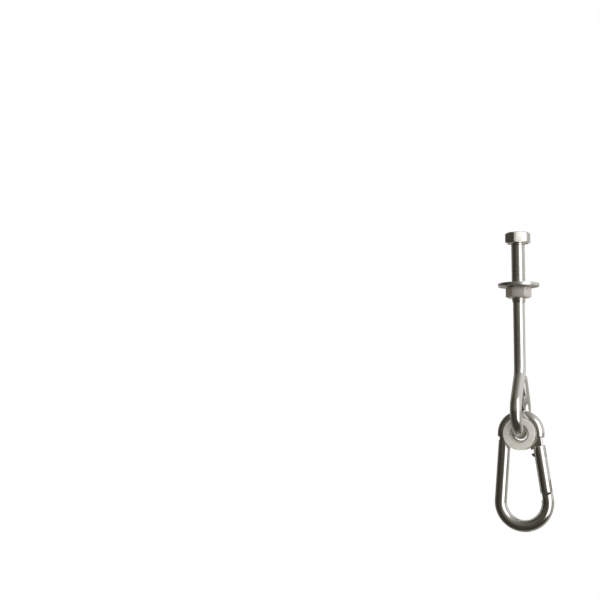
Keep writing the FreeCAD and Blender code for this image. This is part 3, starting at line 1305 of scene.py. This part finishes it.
    def build(self, steel: Steel, pin_steel: Steel) -> None:
        """Builds and dresses the hook, the gate and the pins.

        Args:
            steel: the finish of the bar and the gate.
            pin_steel: the finish of the pins.
        """
        body = self._body()
        gate = self._gate()
        hinge_pin = self._pin("hinge_rivet", self.hinge_pin_r, 0.0)
        latch_pin = self._pin("latch_rivet", self.latch_pin_r, self.latch_up)
        bar_look = steel.material()
        pin_look = pin_steel.material()
        present(body, bar_look, self.sharp, Body.HOOK, "hook_body")
        present(gate, bar_look, self.sharp, Body.GATE, "gate")
        present(hinge_pin, pin_look, self.sharp, Body.HOOK, "gate_hinge_pin")
        present(latch_pin, pin_look, self.sharp, Body.GATE, "gate_latch_pin")
        wear(frame["nodes"]["gate_plunger"], pin_look)
        LOG.info("gate_plunger: solid dressed")


@dataclass
class GateSpring:
    """The coil spring in the gate's bore."""

    hook: SnapHook
    coil_r: float = 1.25 * MM
    coil_steps: int = 24
    wire_r: float = 0.25 * MM
    wire_sides: int = 12
    pitch: float = 1.4 * MM
    plunger: float = 2.6 * MM
    plunger_gap: float = 0.05 * MM
    end_gap: float = 0.02 * MM
    press: float = joint("plunger_press")["range_m"][1]
    sharp: float = math.radians(40.0)

    def build(self, steel: Steel) -> None:
        """Builds and dresses the spring.

        Args:
            steel: the wire's finish.
        """
        stand = self.hook.gate_stand
        bottom = self.hook.cam + self.plunger_gap + self.plunger + self.end_gap
        top = self.hook.bore_end - self.end_gap
        length = top - bottom
        rise = length - 2 * self.wire_r
        start = Vector((self.coil_r, 0, bottom + self.wire_r))
        spring = Bench.ring("gate_coil", self.wire_r, start, AXIS_Y, self.wire_sides)
        Bench.screw(spring, rise, rise / self.pitch, self.coil_steps)
        Bench.seal()
        stand.settle(spring)
        present(spring, steel.material(), self.sharp, Body.GATE, "gate_spring")
        up = Vector((math.sin(stand.tilt), 0, math.cos(stand.tilt)))
        stand.place + up * top
        1 - self.press / length
        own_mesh(spring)


def stand_facing(thing: bpy.types.Object, place: Vector, aim: Vector) -> None:
    """Puts a lamp or a camera into the scene and turns it to a point.

    Args:
        thing: the lamp or the camera.
        place: where it stands.
        aim: the point that it faces.
    """
    bpy.context.scene.collection.objects.link(thing)
    thing.location = place
    thing.rotation_euler = (aim - place).to_track_quat("-Z", "Y").to_euler()


@dataclass(frozen=True)
class Lamp:
    """A soft lamp: how far round to the right of the camera it stands, its size and its power."""

    name: str
    azimuth: float
    width: float
    height: float
    power: float

    def build(self, front: float, reach: float, aim: Vector) -> None:
        """Sets the lamp up so that it faces the object.

        Args:
            front: the azimuth of the camera.
            reach: how far from the bolt's axis it stands.
            aim: the point that it faces.
        """
        data = bpy.data.lights.new(self.name, "AREA")
        data.shape = "RECTANGLE"
        data.size, data.size_y = self.width, self.height
        data.energy = self.power
        angle = self.azimuth + front
        place = Vector((math.sin(angle) * reach, -math.cos(angle) * reach, 0))
        stand_facing(bpy.data.objects.new(self.name, data), place, aim)


@dataclass
class Studio:
    """A pale floor, a white surround, two soft lamps and a graded tent that the steel mirrors.

    The tent's grades are pairs of an angle, in degrees to the right of the camera, and a brightness. Its
    wall stands above its skirt, its pit is dark and low on the camera's side, and its roof is grey.
    """

    view_azimuth: float = math.radians(12.2)
    aim_z: float = -57.0 * MM
    lamp_reach: float = 0.9
    lamps: tuple[Lamp, ...] = (
        Lamp(name="key", azimuth=math.radians(45.0), width=0.7, height=1.5, power=5.5),
        Lamp(name="back", azimuth=math.radians(195.0), width=0.2, height=1.2, power=0.8))
    world_light: float = 0.5
    floor_z: float = -0.40
    floor_size: float = 12.0
    floor_cuts: int = 8
    floor_tint: Colour = (0.9, 0.9, 0.9)
    floor_white: float = 0.8
    floor_fade: Range = (0.45, 0.85)
    tent_r: float = 2.0
    tent_segments: int = 48
    tent_rings: int = 24
    dark_red: float = 0.06
    dark_blue: float = 0.26
    wall_rise: Range = (-0.05, 0.03)
    pit_fall: Range = (-0.75, -0.35)
    pit_front: Range = (-0.5, 0.2)
    pit_level: float = 0.05
    roof_rise: Range = (0.7, 1.0)
    roof_share: float = 0.7
    roof_level: float = 0.25
    wall_grades: Grades = (
        (-180, 0.85), (-170, 0.8), (-160, 0.2), (-148, 0.12), (-135, 0.3), (-125, 0.26), (-102, 0.06),
        (-76, 0.045), (-54, 0.08), (-34, 0.13), (-15, 0.185), (4, 0.29), (18, 0.45), (66, 0.74), (86, 0.74),
        (115, 0.86), (142, 0.75), (151, 0.35), (160, 0.15), (170, 0.75), (180, 0.85))
    skirt_grades: Grades = (
        (-180, 0.25), (-172, 0.28), (-168, 0.8), (-160, 0.75), (-155, 0.15), (-148, 0.1), (-135, 0.25),
        (-125, 0.2), (-110, 0.12), (-84, 0.045), (-60, 0.03), (-40, 0.055), (-20, 0.075), (0, 0.085),
        (14, 0.16), (30, 0.45), (66, 0.5), (83, 0.4), (112, 0.48), (142, 0.45), (150, 0.2), (156, 0.15),
        (161, 0.8), (168, 0.8), (172, 0.28), (180, 0.25))

    def _cloth(self, level: float) -> Colour:
        """The tent's colour at a level of brightness, warmer where it is darker."""
        dark = 1 - level
        return (level * (1 + self.dark_red * dark), level, level * (1 - self.dark_blue * dark * dark))

    def _tent(self) -> None:
        """A round tent of graded cloth that only reflections see."""
        Bench.clear()
        bpy.ops.mesh.primitive_uv_sphere_add(
            segments=self.tent_segments, ring_count=self.tent_rings, radius=self.tent_r)
        tent = Bench.adopt("tent")
        bpy.ops.mesh.normals_make_consistent(inside=True)
        Bench.clear()
        material, graph = new_material("tent_cloth")
        place = graph.place()
        sine, cosine = math.sin(self.view_azimuth), math.cos(self.view_azimuth)
        right = graph.along(place, (cosine / self.tent_r, sine / self.tent_r, 0))
        front = graph.along(place, (sine / self.tent_r, -cosine / self.tent_r, 0))
        height = graph.along(place, (0, 0, 1 / self.tent_r))
        turn = graph.node("ShaderNodeMath", {"operation": "ARCTAN2"}, {0: right, 1: front})
        skirt, wall = (
            graph.node("ShaderNodeValToRGB", {
                "stops": [((angle + 180) / 360, self._cloth(level)) for angle, level in grades],
            }, {0: 0.5 + turn * (1 / math.tau)})
            for grades in (self.skirt_grades, self.wall_grades))
        cloth = graph.mix(height.rise(*self.wall_rise), skirt, wall)
        pit = (1 - height.rise(*self.pit_fall)) * front.rise(*self.pit_front)
        cloth = graph.mix(pit, cloth, self._cloth(self.pit_level))
        roof = self.roof_share * height.rise(*self.roof_rise)
        cloth = graph.mix(roof, cloth, self._cloth(self.roof_level))
        graph.end(graph.node("ShaderNodeEmission", {}, {"Color": cloth, "Strength": 1.0}))
        wear(tent, material)
        material.cycles.emission_sampling = "NONE"
        tent.visible_camera = False
        tent.visible_diffuse = False
        tent.visible_shadow = False
        tent.visible_transmission = False

    def _floor(self) -> None:
        """A pale floor that turns white away from the object."""
        Bench.clear()
        bpy.ops.mesh.primitive_plane_add(size=self.floor_size, location=(0, 0, self.floor_z))
        floor = Bench.adopt("floor")
        bpy.ops.mesh.subdivide(number_cuts=self.floor_cuts)
        Bench.clear()
        material, graph = new_material("pale_floor")
        away = graph.reach(graph.place()).rise(*self.floor_fade)
        white = self._seen(graph) * (self.floor_white + (1 - self.floor_white) * away)
        matt = graph.node("ShaderNodeBsdfDiffuse", {}, {"Color": self.floor_tint})
        glow = graph.node("ShaderNodeEmission", {}, {"Color": WHITE, "Strength": 1.0})
        graph.end(graph.node("ShaderNodeMixShader", {}, {0: white, 1: matt, 2: glow}))
        wear(floor, material)
        floor.visible_glossy = False

    @staticmethod
    def _seen(graph: ShaderGraph) -> Signal:
        """1 where the camera, a reflection or a clear piece sees the surface, otherwise 0.

        Args:
            graph: the graph that the nodes go into.

        Returns:
            The mask.
        """
        camera, glossy, clear = (
            graph.node("ShaderNodeLightPath", {}, {}, ray)
            for ray in ("Is Camera Ray", "Is Glossy Ray", "Is Transmission Ray"))
        return camera.larger(glossy).larger(clear)

    def _world(self) -> None:
        """A white surround that lights the object only softly."""
        world = bpy.data.worlds.new("studio")
        bpy.context.scene.world = world
        world.use_nodes = True
        graph = ShaderGraph(world.node_tree)
        light = self.world_light + (1 - self.world_light) * self._seen(graph)
        shader = graph.node("ShaderNodeBackground", {}, {"Color": WHITE, "Strength": light})
        graph.end(shader, "ShaderNodeOutputWorld")

    def build(self) -> None:
        """Sets the stage and the lamps."""
        self._world()
        self._floor()
        self._tent()
        for lamp in self.lamps:
            lamp.build(self.view_azimuth, self.lamp_reach, Vector((0, 0, self.aim_z)))
        bpy.context.scene.view_settings.view_transform = "Standard"


@dataclass
class PhotoCamera:
    """A camera at the photograph's place."""

    place: Vector = field(default_factory=lambda: mm(169.42, -781.076, -91.896))
    aim: Vector = field(default_factory=lambda: mm(-121.58, -40.508, -8.962))
    lens: float = 81.341
    sensor: float = 36.0

    def build(self) -> None:
        """Sets up the camera and makes it the scene's own."""
        data = bpy.data.cameras.new("photo_camera")
        data.lens = self.lens
        data.sensor_width = self.sensor
        camera = bpy.data.objects.new("photo_camera", data)
        stand_facing(camera, self.place, self.aim)
        bpy.context.scene.camera = camera


BOLT_STEEL = Steel(
    name="polished_bolt_steel", tint=(0.74, 0.73, 0.71), shade=(0.66, 0.65, 0.63), gloss=0.17,
    dulling=0.08, line_scale=Vector((2400, 2400, 160)), line_depth=0.02 * MM, line_show=0.05,
    groove_from=3.83 * MM, groove_to=3.98 * MM, groove_above=-10.5 * MM)
NUT_STEEL = Steel(
    name="machined_nut_steel", tint=(0.70, 0.68, 0.66), shade=(0.60, 0.575, 0.55), gloss=0.28,
    dulling=0.15, line_scale=Vector((500, 500, 3500)), line_depth=0.03 * MM, line_show=0.2)
DULL_NUT_STEEL = Steel(
    name="dull_nut_steel", tint=(0.84, 0.805, 0.765), shade=(0.75, 0.71, 0.67), gloss=0.5,
    dulling=0.12, line_scale=Vector((500, 500, 3500)), line_depth=0.03 * MM, line_show=0.25)
WASHER_STEEL = Steel(
    name="stamped_washer_steel", tint=(0.72, 0.71, 0.69), shade=(0.62, 0.61, 0.59), gloss=0.22,
    dulling=0.15, line_scale=Vector((300, 2600, 2600)), line_depth=0.03 * MM, line_show=0.2)
HOOK_STEEL = Steel(
    name="polished_hook_steel", tint=(0.70, 0.69, 0.67), shade=(0.58, 0.57, 0.55), gloss=0.14,
    dulling=0.08, line_scale=Vector((1300, 2400, 400)), line_depth=0.02 * MM, line_show=0.05)
PIN_STEEL = Steel(
    name="plain_pin_steel", tint=(0.66, 0.65, 0.64), shade=(0.56, 0.55, 0.54), gloss=0.22,
    dulling=0.12, line_scale=Vector((2400, 2400, 2400)), line_depth=0.02 * MM, line_show=0.15)
SPRING_WIRE = Steel(
    name="drawn_spring_wire", tint=(0.60, 0.60, 0.60), shade=(0.48, 0.48, 0.48), gloss=0.25,
    dulling=0.12, line_scale=Vector((3000, 3000, 900)), line_depth=0.02 * MM, line_show=0.15)
NATURAL_NYLON = Nylon(
    name="natural_nylon", tint=(0.86, 0.83, 0.76), deep=(0.80, 0.77, 0.69), rough=0.3)


def main() -> None:
    """Builds the part in order, then its studio and camera."""
    logging.basicConfig(level=logging.INFO, format="%(name)s: %(message)s")
    EyeBolt().build(BOLT_STEEL)
    HexNut(name="top_nut_hex", node="top_nut", body=Body.TOP_NUT,
           bottom=23.5 * MM, turn=math.radians(24.5)).build(NUT_STEEL)
    Washer().build(WASHER_STEEL)
    HexNut(name="lower_nut_hex", node="lower_nut", body=Body.LOWER_NUT,
           bottom=-8.5 * MM, turn=math.radians(10.4)).build(DULL_NUT_STEEL)
    Bush().build(NATURAL_NYLON)
    hook = SnapHook()
    hook.build(HOOK_STEEL, PIN_STEEL)
    GateSpring(hook).build(SPRING_WIRE)
    Studio().build()
    PhotoCamera().build()


if __name__ == "__main__":
    main()
